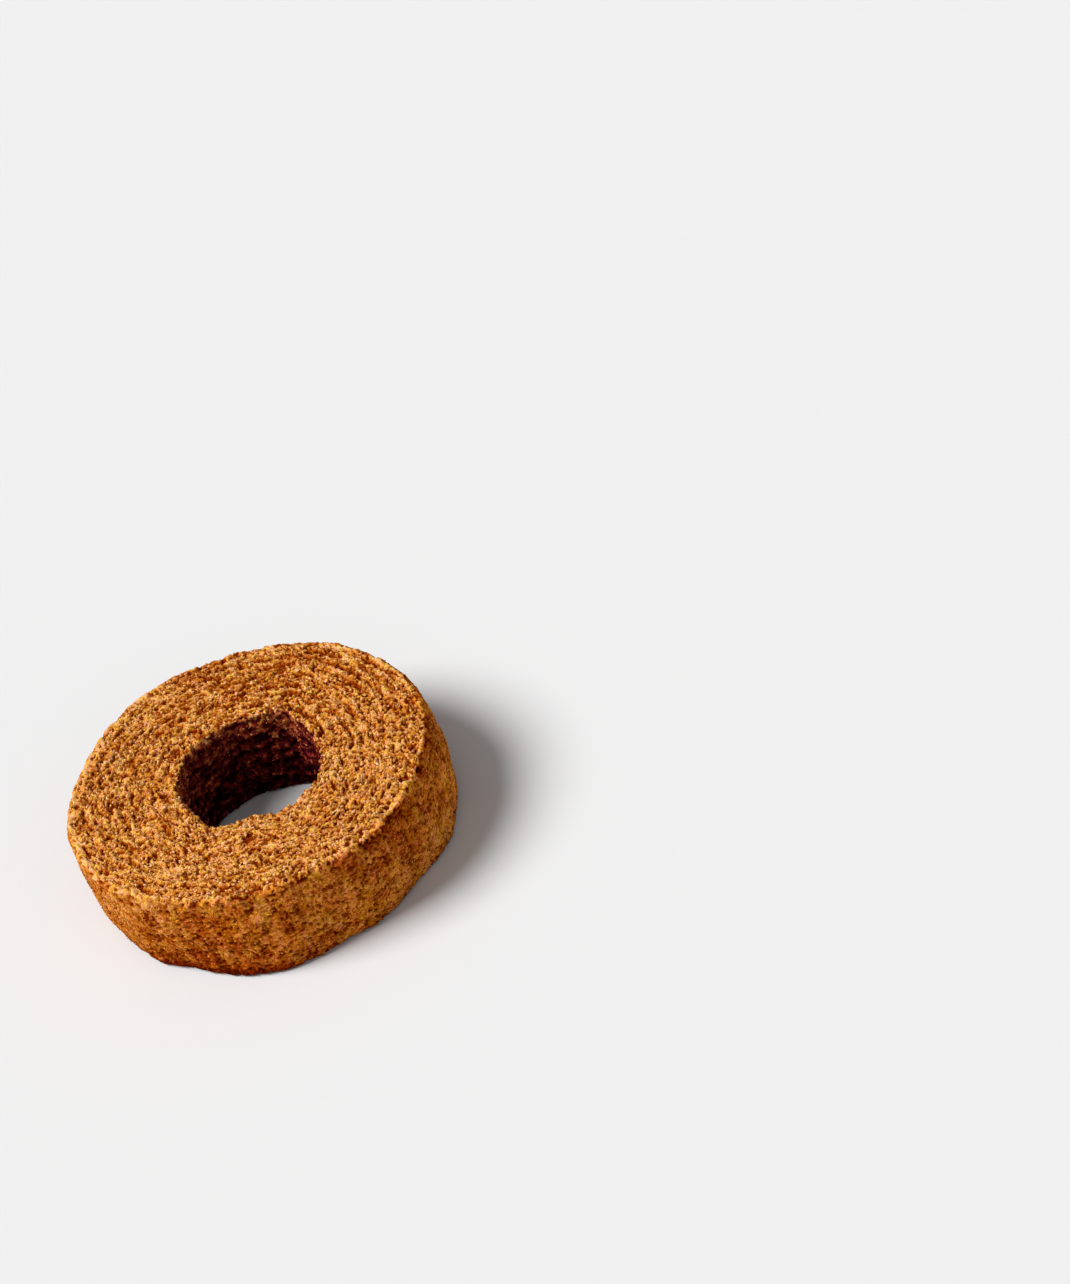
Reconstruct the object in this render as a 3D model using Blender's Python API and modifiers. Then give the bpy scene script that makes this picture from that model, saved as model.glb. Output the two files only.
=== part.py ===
"""A ring of baumkuchen lying on its lower cut face: thin baked layers round the hole that the spit left.

Metres, +Z up. The origin is the middle of the ring's footprint, on the underside. -Y is the side nearest the
viewer and +X is to the viewer's right. A turn is an angle about +Z, in degrees, counted from +X towards +Y.
"""

import math

import bmesh
import bpy
from mathutils import Vector, noise

MM = 0.001

# Driving dimensions
OUTER_RADIUS = 36.0 * MM
HOLE_RADIUS = 14.4 * MM
HEIGHT = 20.0 * MM
LAYER_COUNT = 9
GROOVE_DEPTH = 0.35 * MM
SIDE_BELLY = 0.8 * MM
TOP_EDGE_RADIUS = 0.8 * MM
FOOT_EDGE_RADIUS = 1.0 * MM
HOLE_EDGE_RADIUS = 1.1 * MM

# Where the outline leaves a true circle: (turn, reach beyond the circle, half width in degrees)
OUTLINE_BULGES = (
    (112, 0.7 * MM, 17),
    (142, -0.4 * MM, 10),
    (195, 0.7 * MM, 32),
    (296, 0.6 * MM, 12),
    (4, 0.45 * MM, 13),
    (25, -0.3 * MM, 22),
    (78, -0.6 * MM, 14),
    (277, -0.4 * MM, 9),
)

# Where the side is fuller or slimmer at mid height, and at its foot, than at its upper edge
MIDDLE_BULGES = ((344, 0.8 * MM, 15),)
FOOT_BULGES = (
    (197, -1.6 * MM, 29),
    (215, 0.7 * MM, 8),
    (226, -0.6 * MM, 8),
    (257, 1.2 * MM, 15),
    (304, -0.9 * MM, 12),
    (329, 0.7 * MM, 18),
)

# Where the hole leaves a true circle
HOLE_BULGES = (
    (46, 2.0 * MM, 9),
    (57, 0.4 * MM, 9),
    (91, 0.5 * MM, 10),
    (108, -0.7 * MM, 12),
    (227, 1.6 * MM, 8),
    (312, 1.5 * MM, 40),
    (340, -0.7 * MM, 6),
    (0, -0.9 * MM, 10),
    (260, -1.6 * MM, 12),
    (176, -0.8 * MM, 36),
)
HOLE_ROUNDING_AT_FOOT = 0.5

# Where the layers lie further out than elsewhere
LAYER_SHIFTS = (
    (60, 1.0 * MM, 20),
    (142, 0.45 * MM, 45),
)

# The near lip of the hole is worn down: the turn of its middle, its half width, how deep and how far out
WORN_TURN = 262
WORN_HALF_WIDTH = 38
WORN_DEPTH = 0.9 * MM
WORN_REACH = 2.6 * MM

# The knife has smeared the layers on the near side, so their grooves are shallow there
SMEARED_TURN = 280
SMEARED_HALF_WIDTH = 48
SMEARED_SHARE = 0.65

# Gaps where the outer layers have come away: (turn, half length in degrees, depth, distance from the outside)
SKIN_GAPS = (
    (171, 6, 0.8 * MM, 3.3 * MM),
    (95, 6, 0.6 * MM, 1.8 * MM),
)
SKIN_GAP_HALF_WIDTH = 0.45 * MM

# Chips out of the upper outer edge on the near side: (turn, half length in degrees, depth)
EDGE_CHIPS = (
    (306, 3.0, 0.8 * MM),
    (295, 3.5, 0.9 * MM),
    (283, 3.5, 0.9 * MM),
    (269, 4.0, 0.8 * MM),
    (256, 4.0, 0.8 * MM),
)
CHIP_REACH = 1.6 * MM

# Unevenness of the baked and cut surfaces: (bump length, height)
FACE_LUMPS = (7.0 * MM, 0.30 * MM)
SIDE_LUMPS = (6.0 * MM, 0.35 * MM)
CRAGS = (3.6 * MM, 0.22 * MM)
FLUTE_COUNT = 58
FLUTE_DEPTH = 0.10 * MM
FLUTE_WANDER = (20.0 * MM, 9.0)

# Facets
TURN_STEPS = 90
SIDE_STEPS = 7
HOLE_STEPS = 6
EDGE_STEPS = 3
LAYER_STEPS = 4

CRUMB_COLOUR = (0.52, 0.19, 0.045, 1.0)
CRUMB_ROUGHNESS = 0.9


def clear_scene():
    for old in list(bpy.data.objects):
        bpy.data.objects.remove(old, do_unlink=True)


def collection_named(name):
    group = bpy.data.collections.new(name)
    bpy.context.scene.collection.children.link(group)
    return group


def swell(turn, bulges):
    """The sum of smooth bulges at this turn."""
    total = 0.0
    for middle, reach, half_width in bulges:
        away = (turn - middle + 180) % 360 - 180
        total += reach * math.exp(-((away / half_width) ** 2))
    return total


def lump(place, size, shift):
    """Smooth unevenness of this (bump length, height). Each shift gives another pattern."""
    length, height = size
    return height * noise.noise(Vector(place) / length + Vector((shift, shift, shift)))


def edge_arc(across, up, radius, start, end):
    """A rounded edge of the profile: points round (across, up), without the first one."""
    points = []
    for step in range(1, EDGE_STEPS + 1):
        angle = math.radians(start + (end - start) * step / EDGE_STEPS)
        points.append((across + radius * math.cos(angle), up + radius * math.sin(angle)))
    return points


def ring_profile():
    """The section of a perfect ring as (distance from the axis, height), down the outer side first."""
    points = [(OUTER_RADIUS, HEIGHT - TOP_EDGE_RADIUS)]
    wall = HEIGHT - TOP_EDGE_RADIUS - FOOT_EDGE_RADIUS
    for step in range(1, SIDE_STEPS + 1):
        points.append((OUTER_RADIUS, HEIGHT - TOP_EDGE_RADIUS - wall * step / SIDE_STEPS))
    points += edge_arc(OUTER_RADIUS - FOOT_EDGE_RADIUS, FOOT_EDGE_RADIUS, FOOT_EDGE_RADIUS, 0, -90)
    points.append((HOLE_RADIUS + FOOT_EDGE_RADIUS, 0.0))
    points += edge_arc(HOLE_RADIUS + FOOT_EDGE_RADIUS, FOOT_EDGE_RADIUS, FOOT_EDGE_RADIUS, 270, 180)
    bore = HEIGHT - HOLE_EDGE_RADIUS - FOOT_EDGE_RADIUS
    for step in range(1, HOLE_STEPS + 1):
        points.append((HOLE_RADIUS, FOOT_EDGE_RADIUS + bore * step / HOLE_STEPS))
    points += edge_arc(HOLE_RADIUS + HOLE_EDGE_RADIUS, HEIGHT - HOLE_EDGE_RADIUS, HOLE_EDGE_RADIUS, 180, 90)
    face = OUTER_RADIUS - TOP_EDGE_RADIUS - HOLE_RADIUS - HOLE_EDGE_RADIUS
    face_steps = LAYER_COUNT * LAYER_STEPS
    for step in range(1, face_steps + 1):
        points.append((HOLE_RADIUS + HOLE_EDGE_RADIUS + face * step / face_steps, HEIGHT))
    points += edge_arc(OUTER_RADIUS - TOP_EDGE_RADIUS, HEIGHT - TOP_EDGE_RADIUS, TOP_EDGE_RADIUS, 90, 0)[:-1]
    return points


def turned_ring(material):
    """The perfect ring, turned from its profile, as a mesh."""
    points = ring_profile()
    profile = bpy.data.meshes.new("ring_profile")
    count = len(points)
    edges = [(index, (index + 1) % count) for index in range(count)]
    profile.from_pydata([(across, 0.0, up) for across, up in points], edges, [])
    blank = bpy.data.objects.new("ring_blank", profile)
    bpy.context.scene.collection.objects.link(blank)
    turning = blank.modifiers.new("turning", "SCREW")
    turning.axis = "Z"
    turning.angle = math.radians(360)
    turning.steps = TURN_STEPS
    turning.render_steps = TURN_STEPS
    turning.use_merge_vertices = True
    turning.merge_threshold = 0.00001
    graph = bpy.context.evaluated_depsgraph_get()
    mesh = bpy.data.meshes.new_from_object(blank.evaluated_get(graph))
    bpy.data.objects.remove(blank)
    mesh.name = "ring"
    mesh.materials.clear()
    mesh.materials.append(material)
    return mesh


def worn_dip(turn, from_hole):
    """How far the near lip of the hole is worn down here."""
    away = (turn - WORN_TURN + 180) % 360 - 180
    return WORN_DEPTH * math.exp(-((away / WORN_HALF_WIDTH) ** 2) - (from_hole / WORN_REACH) ** 2)


def groove_dip(turn, across):
    """How deep the groove between two layers is here. Each layer stands up between its two grooves."""
    first = HOLE_RADIUS + HOLE_EDGE_RADIUS
    inwards = across - swell(turn, LAYER_SHIFTS)
    layers_out = LAYER_COUNT * (inwards - first) / (OUTER_RADIUS - TOP_EDGE_RADIUS - first)
    if not 0 < layers_out < LAYER_COUNT:
        return 0.0
    away = (turn - SMEARED_TURN + 180) % 360 - 180
    smeared = SMEARED_SHARE * math.exp(-((away / SMEARED_HALF_WIDTH) ** 2))
    return GROOVE_DEPTH * (1 - smeared) * (0.5 - 0.5 * math.cos(2 * math.pi * layers_out))


def skin_gap_dip(turn, from_outside):
    """How deep the gap behind the outer layers is here."""
    dip = 0.0
    for middle, half_length, depth, distance in SKIN_GAPS:
        away = (turn - middle + 180) % 360 - 180
        beside = (from_outside - distance) / SKIN_GAP_HALF_WIDTH
        dip += depth * math.exp(-((away / half_length) ** 2) - beside**2)
    return dip


def chip_dip(turn, from_outside):
    """How much is missing from the upper outer edge here."""
    dip = 0.0
    for middle, half_length, depth in EDGE_CHIPS:
        away = (turn - middle + 180) % 360 - 180
        dip += depth * math.exp(-((away / half_length) ** 2) - (from_outside / CHIP_REACH) ** 2)
    return dip


def baked_place(place):
    """Where a point of the perfect ring lies in the real one, which is uneven, bellied and worn."""
    radius = math.hypot(place.x, place.y)
    turn = math.degrees(math.atan2(place.y, place.x))
    share = (radius - HOLE_RADIUS) / (OUTER_RADIUS - HOLE_RADIUS)
    height_share = place.z / HEIGHT
    upright = 4 * height_share * (1 - height_share)

    rounding = HOLE_ROUNDING_AT_FOOT + (1 - HOLE_ROUNDING_AT_FOOT) * height_share
    out_at_hole = swell(turn, HOLE_BULGES) * rounding
    out_at_side = swell(turn, OUTLINE_BULGES) + (SIDE_BELLY + swell(turn, MIDDLE_BULGES)) * upright
    out_at_side += swell(turn, FOOT_BULGES) * (1 - height_share)
    flute = 0.5 + 0.5 * math.sin(math.radians(turn * FLUTE_COUNT) + lump(place, FLUTE_WANDER, 3.7))
    out_at_side += lump(place, SIDE_LUMPS, 1.3) - FLUTE_DEPTH * flute
    out_at_hole += lump(place, SIDE_LUMPS, 5.1)
    radius += out_at_hole * (1 - share) + out_at_side * share
    radius += lump(place, CRAGS, 8.2) * abs(2 * share - 1)

    rise = lump(place, FACE_LUMPS, 2.9) + lump(place, CRAGS, 6.4)
    rise -= groove_dip(turn, HOLE_RADIUS + share * (OUTER_RADIUS - HOLE_RADIUS))
    rise -= worn_dip(turn, radius - HOLE_RADIUS - out_at_hole)
    rise -= skin_gap_dip(turn, OUTER_RADIUS + out_at_side - radius)
    rise -= chip_dip(turn, OUTER_RADIUS + out_at_side - radius)
    up = place.z + rise * height_share**2 if place.z > 0 else place.z
    return Vector((radius * math.cos(math.radians(turn)), radius * math.sin(math.radians(turn)), up))


def bake(mesh):
    """Gives the perfect ring its real shape, and centres its footprint on the origin."""
    shaped = bmesh.new()
    shaped.from_mesh(mesh)
    for vertex in shaped.verts:
        vertex.co = baked_place(vertex.co)
    across = [vertex.co.x for vertex in shaped.verts]
    along = [vertex.co.y for vertex in shaped.verts]
    middle = Vector(((min(across) + max(across)) / 2, (min(along) + max(along)) / 2, 0.0))
    bmesh.ops.translate(shaped, vec=-middle, verts=shaped.verts)
    bmesh.ops.triangulate(shaped, faces=shaped.faces)
    shaped.to_mesh(mesh)
    shaped.free()
    mesh.shade_smooth()


def crumb_material():
    material = bpy.data.materials.new("crumb")
    material.use_nodes = True
    shader = material.node_tree.nodes["Principled BSDF"]
    shader.inputs["Base Color"].default_value = CRUMB_COLOUR
    shader.inputs["Roughness"].default_value = CRUMB_ROUGHNESS
    shader.inputs["Metallic"].default_value = 0.0
    return material


def main():
    clear_scene()
    parts = collection_named("baumkuchen")
    mesh = turned_ring(crumb_material())
    bake(mesh)
    parts.objects.link(bpy.data.objects.new("ring", mesh))


main()
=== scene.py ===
"""A ring of baumkuchen: its coarse crumb, the grains that stand out of it, and the studio it is shown in.

Shapes are worked out in millimetres in the part's own frame, and turned to metres when a mesh is made. A
turn is an angle about +Z in degrees, from +X towards +Y. The shape is described on a perfect ring, by the
distance from the axis ("across") and the height ("up"), and then moved to where the real, uneven ring is.
Lightness goes from 0 to 1 and sets the colour's tone; besides the crumb's own tone it carries painted shade
and painted highlights. Some kinds of named values come back all through:

- a bulge is (turn, reach, half width), and swell() adds up several of them
- a side of the ring is (turn, half width), for bell()
- a pattern is (length, height, shift), in millimetres apart from the shift, for pattern() and walls()
- a step is (low, high), for grade()
- weights say how much each feature of the crumb counts, for weigh()
"""

import math
import random

import bpy
import numpy as np
from mathutils import Matrix, Vector, noise

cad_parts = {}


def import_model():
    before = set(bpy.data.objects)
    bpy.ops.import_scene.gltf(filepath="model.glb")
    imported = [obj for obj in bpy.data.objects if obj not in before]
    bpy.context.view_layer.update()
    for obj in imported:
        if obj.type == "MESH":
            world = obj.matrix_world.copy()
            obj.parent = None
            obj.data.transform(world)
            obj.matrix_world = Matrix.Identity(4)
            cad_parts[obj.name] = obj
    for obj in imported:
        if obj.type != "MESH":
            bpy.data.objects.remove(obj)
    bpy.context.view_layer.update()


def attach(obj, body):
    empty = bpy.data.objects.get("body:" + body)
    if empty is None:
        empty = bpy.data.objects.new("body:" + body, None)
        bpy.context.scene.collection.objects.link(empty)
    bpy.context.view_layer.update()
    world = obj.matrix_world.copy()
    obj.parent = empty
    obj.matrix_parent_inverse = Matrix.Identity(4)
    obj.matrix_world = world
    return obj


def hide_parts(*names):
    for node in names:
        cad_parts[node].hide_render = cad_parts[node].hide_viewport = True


MM = 0.001

# The ring, as the solid has it
OUTER_RADIUS = 36.0
HOLE_RADIUS = 14.4
HEIGHT = 20.0
LAYER_COUNT = 9
GROOVE_DEPTH = 0.35
SIDE_BELLY = 0.8
TOP_EDGE_RADIUS = 0.8
FOOT_EDGE_RADIUS = 1.0
HOLE_EDGE_RADIUS = 1.1

# Bulges of its outline, of the middle and the foot of its side, of its hole and of its layers
OUTLINE_BULGES = (
    (112, 0.7, 17),
    (142, -0.4, 10),
    (195, 0.7, 32),
    (296, 0.6, 12),
    (4, 0.45, 13),
    (25, -0.3, 22),
    (78, -0.6, 14),
    (277, -0.4, 9),
)
MIDDLE_BULGES = ((344, 0.8, 15),)
FOOT_BULGES = (
    (197, -1.6, 29),
    (215, 0.7, 8),
    (226, -0.6, 8),
    (257, 1.2, 15),
    (304, -0.9, 12),
    (329, 0.7, 18),
)
HOLE_BULGES = (
    (46, 2.0, 9),
    (57, 0.4, 9),
    (91, 0.5, 10),
    (108, -0.7, 12),
    (227, 1.6, 8),
    (312, 1.5, 40),
    (340, -0.7, 6),
    (0, -0.9, 10),
    (260, -1.6, 12),
    (176, -0.8, 36),
)
HOLE_ROUNDING_AT_FOOT = 0.5
LAYER_SHIFTS = ((60, 1.0, 20), (142, 0.45, 45))

# The near lip of the hole is worn, and the knife has smeared the layers of the near side
WORN_LIP = ((262, 0.9, 38),)
WORN_REACH = 2.6
SMEARED_SIDE = ((280, 0.65, 48),)

# Gaps behind the outer layers: (turn, half length, depth, distance). Chips: (turn, half length, depth).
SKIN_GAPS = ((171, 6, 0.8, 3.3), (95, 6, 0.6, 1.8))
SKIN_GAP_HALF_WIDTH = 0.45
EDGE_CHIPS = ((306, 3.0, 0.8), (295, 3.5, 0.9), (283, 3.5, 0.9), (269, 4.0, 0.8), (256, 4.0, 0.8))
CHIP_REACH = 1.6

# Unevenness of all faces as (length of a bump, height), and the upright flutes of the side
FACE_LUMPS = (7.0, 0.30)
SIDE_LUMPS = (6.0, 0.35)
CRAGS = (3.6, 0.22)
FLUTE_COUNT = 58
FLUTE_DEPTH = 0.10
FLUTE_WANDER = (20.0, 9.0)

# Sides of the ring as the photo shows it
NEAR_SIDE = (280, 45)
FAR_SIDE = (75, 60)
LEFT_SIDE = (190, 50)

# The crumb's cells: how near to 0 a pattern is on their walls, their length and width, and a shift along x
WALL_WIDTH = 0.24
CELL = (1.20, 0.85)
SMALL_CELL = (0.64, 0.54)
SMALL_CELL_ASIDE = 17

# Patterns and steps of the cut crumb, which follow its layers apart from the first three
DRIFT_PATTERN = (6.0, 6.0, 3)
FINE_PATTERN = (0.38, 0.38, 0)
BIG_PORE_PATTERN = (1.5, 1.5, 5)
STREAK_PATTERN = (3.0, 0.55, 45)
CLUMP_PATTERN = (2.2, 1.5, 8)
DASH_PATTERN = (2.6, 0.75, 33)
SMOOTH_PATTERN = (4.5, 1.1, 21)
GROOVE_PATTERN = (4.0, 3.0, 30)
DRIFT_REACH = 1.6
GROOVE_MEAN = 0.55
GROOVE_UNEVENNESS = 1.2
NEAR_SMOOTH_SHARE = 0.5
BIG_PORE_STEP = (0.34, 0.50)
SMOOTH_STEP = (0.20, 0.40)
PORE_STEP = (0.15, 0.75)
SKIN_STEP = (OUTER_RADIUS - 2.0, OUTER_RADIUS - 1.2)

# How far the surface faces up or down to be cut crumb, and not skin or the hole's wall
CUT_STEP = (0.35, 0.9)

# The cut crumb's features: main and small are its cell walls, fine its grain, big its largest pores, dash short
# walls along the layers, clump and streak its lighter patches, low the grooves between the layers, smooth where
# it is smeared, pale and dark the places listed below, and all is 1 everywhere. The weights say where it has
# pores, how far it stands up in millimetres, and how light it is. Those named after a side count there only.
# Pores, big pores and the dark places are darker and the cell walls lighter, partly for the crumb's own colour
# and partly as painted shade in the hollows.
PORES = {"main": -1.0, "small": -0.6, "low": 0.4, "big": 0.9, "smooth": -0.8, "clump": -0.7, "dark": 1.0}
FAR_PORES = {"all": 0.2, "dash": -0.5}
CUT_RELIEF = {"main": 0.17, "small": 0.11, "fine": 0.12, "pore": -0.38, "big": -0.228}
FAR_RELIEF = {"dash": 0.08}
CUT_LIGHT = {
    "all": 0.575,
    "main": 0.18,
    "small": 0.15,
    "fine": 0.18,
    "pore": -0.36,
    "big": -0.17,
    "smooth": 0.07,
    "clump": 0.14,
    "low": -0.17,
    "streak": 0.17,
    "pale": 0.14,
    "dark": -0.34,
    "broad_pale": 0.14,
    "broad_dark": -0.18,
}
NEAR_LIGHT = {"pore": -0.28, "streak": 0.10}
FAR_LIGHT = {"all": -0.06, "clump": 0.10, "dash": 0.10, "low": -0.06, "streak": 0.09}
LEFT_LIGHT = {"streak": 0.05}

# Bulges of lightness of the whole upper face, of its grooves, and of a narrow band along its outer edge
FACE_LIGHT = ((78, -0.05, 25), (42, 0.05, 34))
GROOVE_LIGHT = ((42, -0.26, 34),)
BAND_LIGHT = ((130, 0.14, 60),)
BAND_LEAST_LIGHT = 0.05
BAND_STEP = (OUTER_RADIUS - 2.2, OUTER_RADIUS - 1.5)

# Places of the upper face as (turn, distance from the axis): where crumbs are missing, or it is smeared
DARK_PLACES = (
    (334, 33.2),
    (286, 24.9),
    (240, 30.0),
    (113, 25.7),
    (211, 25.7),
    (177, 33.9),
    (300, 30.2),
    (176, 22.8),
    (263, 28.5),
    (203, 26.0),
    (257, 20.7),
    (24, 26.9),
    (60, 28.7),
    (247, 33.0),
)
PALE_PLACES = ((200, 21.9), (342, 18.8), (57, 33.2), (37, 33.4), (241, 25.6), (190, 29.7), (87, 21.4))
PLACE_REACH = 0.9

# Broader places of the upper face that are a little paler or darker
BROAD_PALE_PLACES = ((79, 20.8), (127, 33.0), (141, 29.5), (41, 19.5), (93, 24.3), (318, 18.5))
BROAD_DARK_PLACES = ((247, 33.6), (203, 20.5), (357, 34.5))
BROAD_REACH = 2.5

# The browned side: its patterns, hollows, relief and lightness. Its hollows are darker partly as painted shade.
SKIN_WALLS = (1.15, 0.75, 11)
SKIN_FINE = (0.50, 0.45, 0)
SKIN_STREAKS = (1.1, 3.5, 11)
SKIN_LONG_STREAKS = (1.8, 10.0, 9)
SKIN_CLUMPS = (3.5, 2.5, 50)
SKIN_HOLLOWS = {"main": -1.0, "fine": -0.8, "clump": -0.8, "lobe": -2.0}
SKIN_HOLLOW_STEP = (0.45, 1.0)
SKIN_RELIEF = {"main": 0.11, "fine": 0.11, "streak": 0.08, "hollow": -0.30}
SKIN_LIGHT = {"all": 0.54, "main": 0.15, "fine": 0.28, "streak": 0.14, "clump": 0.20, "hollow": -0.26}

# Its bulges of lightness: all over, how much lighter its top is than its middle, and how dark its foot is. The
# change with height is painted light and shade, and the dark foot is a painted contact shadow.
SIDE_LIGHT = ((229, -0.10, 20), (268, 0.11, 15), (290, 0.04, 25), (338, 0.17, 28))
SIDE_FALL = ((228, 0.14, 25), (306, -0.20, 20), (332, -0.15, 16))
FOOT_SHADOW_BULGES = ((236, 0.38, 26), (247, 0.30, 10), (285, -0.20, 24))
FOOT_SHADE = 0.25
FOOT_REACH = 2.0

# Where it is less browned, along its whole height and at its upper edge, and how patchy that is
PALE_SIDE = ((205, 0.50, 24),)
PALE_RIM = ((180, 0.5, 45),)
PATCH_PATTERN = (6.0, 6.0, 40)
PATCH_SHARE = 0.25
BROWNED_STEP = (0.15, 0.70)

# The hole's wall: its patterns, relief and lightness, and how much lighter it is near its top. Its lightness
# rises with height and near its top and falls at turn 0 as painted light and shade of the hole, and its ledges
# are lighter than the hollows between them partly as painted shade.
WALL_LEDGES = (2.2, 1.3, 60)
WALL_CELLS = (1.1, 0.8, 70)
WALL_FINE = (0.55, 0.45, 0)
WALL_CLUMPS = (1.2, 1.0, 75)
WALL_RELIEF = {"ledge": 0.45, "main": 0.18, "fine": 0.20}
WALL_LIGHT = {"all": 0.39, "ledge": 0.42, "main": 0.16, "fine": 0.30, "clump": 0.42, "above_middle": 0.022}
WALL_BULGES = ((0, -0.10, 30),)
WALL_TOP_BULGES = ((42, 0.12, 14), (226, 0.34, 14), (178, 0.20, 25))
WALL_TOP_STEP = (10.0, 18.0)

# Where the dark wall starts, and how ragged that line is, as (how far, length, shift) of two patterns
WALL_STEP = (0.60, 0.90)
WALL_RAG = ((1.7, 1.5, 80), (1.9, 0.6, 90))
WALL_RAG_SHARE = 0.25
WALL_A_MM_DOWN = 0.07

# The far lip of the hole is dark like its wall, in a ragged band, and so is a narrow fringe of its left lip. As
# on the wall, this darkness is partly painted shade of the hole.
FAR_LIP = (60, 34)
FAR_LIP_BAND = 0.9
FAR_LIP_SHARE = 0.9
FAR_LIP_STEP = (0.1, 0.6)
LEFT_LIP = (172, 50)
LEFT_LIP_RAG_SHARE = 0.8
LIP_BAND_STEP = (0.0, 0.5)
LIP_BAND_LIMIT = 5.0

# Lobes of skin stand up between the chips of the near edge: as (turn, height, half length)
EDGE_LOBES = (
    (312, 0.40, 3.5),
    (301, 0.45, 2.5),
    (289, 0.50, 2.5),
    (279, 0.40, 2.0),
    (264, 0.55, 3.0),
    (248, 0.50, 3.5),
    (238, 0.35, 3.0),
)
LOBE_REACH = 0.7
# How much lighter a lobe is: partly its own lighter crumb, partly a painted highlight where it stands up
LOBE_LIGHT = 0.6
LOBE_BROWNING = 1.6

# The corners of the upper face: their reach, how ragged they are, and how calm away from the torn side
RIM_REACH = 1.4
EDGE_RAG = (1.5, 0.50)
FINE_EDGE_RAG = (0.7, 0.36)
LIP_RAG_FACTOR = 1.5
TORN_SIDE = (275, 55)
WHOLE_EDGE_CALM = 0.75

# How light the outer corner is, how dark where it is torn, as painted shade in the chips, and the dark pits of
# its near side, sunk into it and darkened as painted shade
RIM_LIGHT = ((286, 0.42, 30), (357, -0.14, 14))
TORN_SHADE = 0.42
RIM_PIT_PATTERN = (1.0, 0.8, 120)
RIM_PIT_STEP = (0.17, 0.30)
PITTED_RIM = ((282, 1.7, 48),)
RIM_PIT_DEPTH = 0.35
RIM_PIT_SHADE = 0.75

# Where the surface's rise is below this it is the underside, which is smoother. The rounding of the side's foot
# gets darker towards it, as painted shade where it faces down.
UNDERSIDE_RISE = -0.5
UNDERSIDE_SINK = 0.12
UNDERSIDE_RELIEF = 0.8
UNDERSIDE_SHADE = 0.6

# How far apart the surface's points are, how few a ring may have, and how far they stray from even steps
FACE_CELL = 0.26
SIDE_CELL = 0.40
BORE_CELL = 0.45
UNDER_CELL = 0.90
EDGE_CELL = 0.28
FOOT_CELL = 0.45
LEAST_POINTS = 24
JITTER = 0.5

# Grains that stand out of the surface: how many, their least and greatest length, and the share of it sunk
COARSE_GRAINS = (8500, (0.50, 1.00), 0.14)
FINE_GRAINS = (20000, (0.28, 0.52), 0.10)
SIDE_GRAINS = (6000, (0.45, 0.85), 0.22)
SIDE_FINE_GRAINS = (20000, (0.26, 0.46), 0.10)
BORE_GRAINS = (3000, (0.35, 0.80), 0.15)

# The shape of a grain of unit length
GRAIN_SHAPES = 24
GRAIN_RADIUS = (0.40, 0.60)
GRAIN_WIDTH = (0.40, 0.68)
GRAIN_THICKNESS = (0.40, 0.60)
GRAIN_CURL = (-0.9, 0.9)
GRAIN_CURL_MIDDLE = 0.08
NEIGHBOUR_REACH = 2.1

# How grains lie: small ones are commoner, they keep off the dark crumb, and they tilt and turn a little
SMALLNESS = 1.6
RIM_SINK = 0.22
LEAST_SHARE = 0.06
LIGHT_CRUMB_STEP = (0.35, 0.75)
GRAIN_TILT = 0.25
GRAIN_SWING = 38

# Their tone: its mean and spread, how much it follows the crumb's lightness, painted shade included, how much
# darker it is in the hole, as painted shade, and how often a grain at the wall's edge is as dark as the wall
GRAIN_TONE = (0.56, 0.26)
TONE_BY_LIGHT = 0.55
TONE_MIDDLE_LIGHT = 0.62
WALL_TONE_SHADE = 0.12
WALL_GRAIN_SHARE = 0.6

# Golden crumbs lie on the dark wall below the right of the far lip
GOLDEN_WALL = ((45, 0.60, 30),)
GOLDEN_STEP = (HEIGHT - 10, HEIGHT - 2)
GOLDEN_WALL_SHARE = 0.4

# How near to the ends of each surface grains may lie
FACE_MARGINS = (0.3, 0.2)
SIDE_MARGINS = (0.5, 0.3)
BORE_FOOT_MARGIN = 0.8

chance = random.Random(7)


def turn_from(turn, middle):
    return (turn - middle + 180) % 360 - 180


def bell(turn, middle, half_width):
    """1 at the middle turn, falling smoothly to 0 on both sides."""
    return math.exp(-((turn_from(turn, middle) / half_width) ** 2))


def swell(turn, bulges):
    """The sum of smooth bulges at this turn."""
    return sum(reach * bell(turn, middle, half_width) for middle, reach, half_width in bulges)


def lump(x, y, z, size, shift):
    """Smooth unevenness of this (bump length, height). Each shift gives another pattern."""
    length, height = size
    return height * noise.noise(Vector((x / length + shift, y / length + shift, z / length + shift)))


def pattern(x, y, z, length, height, shift=0.0, aside=0.0):
    """Smooth unevenness from -1 to 1, in bumps of this length and height. Shifts give other patterns."""
    return noise.noise(Vector((x / length + aside, y / length, z / height + shift)))


def walls(x, y, z, length, height, shift=0.0, aside=0.0):
    """1 on a cell wall and down to -1 in the pores between the walls."""
    return max(-1.0, 1 - abs(pattern(x, y, z, length, height, shift, aside)) / WALL_WIDTH)


def grade(value, low, high):
    """0 below low, 1 above high, and a smooth step between."""
    t = min(1.0, max(0.0, (value - low) / (high - low)))
    return t * t * (3 - 2 * t)


def clamped(value):
    return min(1.0, max(0.0, value))


def weigh(features, weights):
    """The sum of the features that have a weight, each times its weight."""
    return sum(weight * features[name] for name, weight in weights.items())


def groove(turn, across):
    """0 on the crest of a layer and 1 in the groove between two, less where the knife has smeared them."""
    first = HOLE_RADIUS + HOLE_EDGE_RADIUS
    inwards = across - swell(turn, LAYER_SHIFTS)
    layers = LAYER_COUNT * (inwards - first) / (OUTER_RADIUS - TOP_EDGE_RADIUS - first)
    if not 0 < layers < LAYER_COUNT:
        return 0.0
    return (1 - swell(turn, SMEARED_SIDE)) * (0.5 - 0.5 * math.cos(2 * math.pi * layers))


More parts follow.
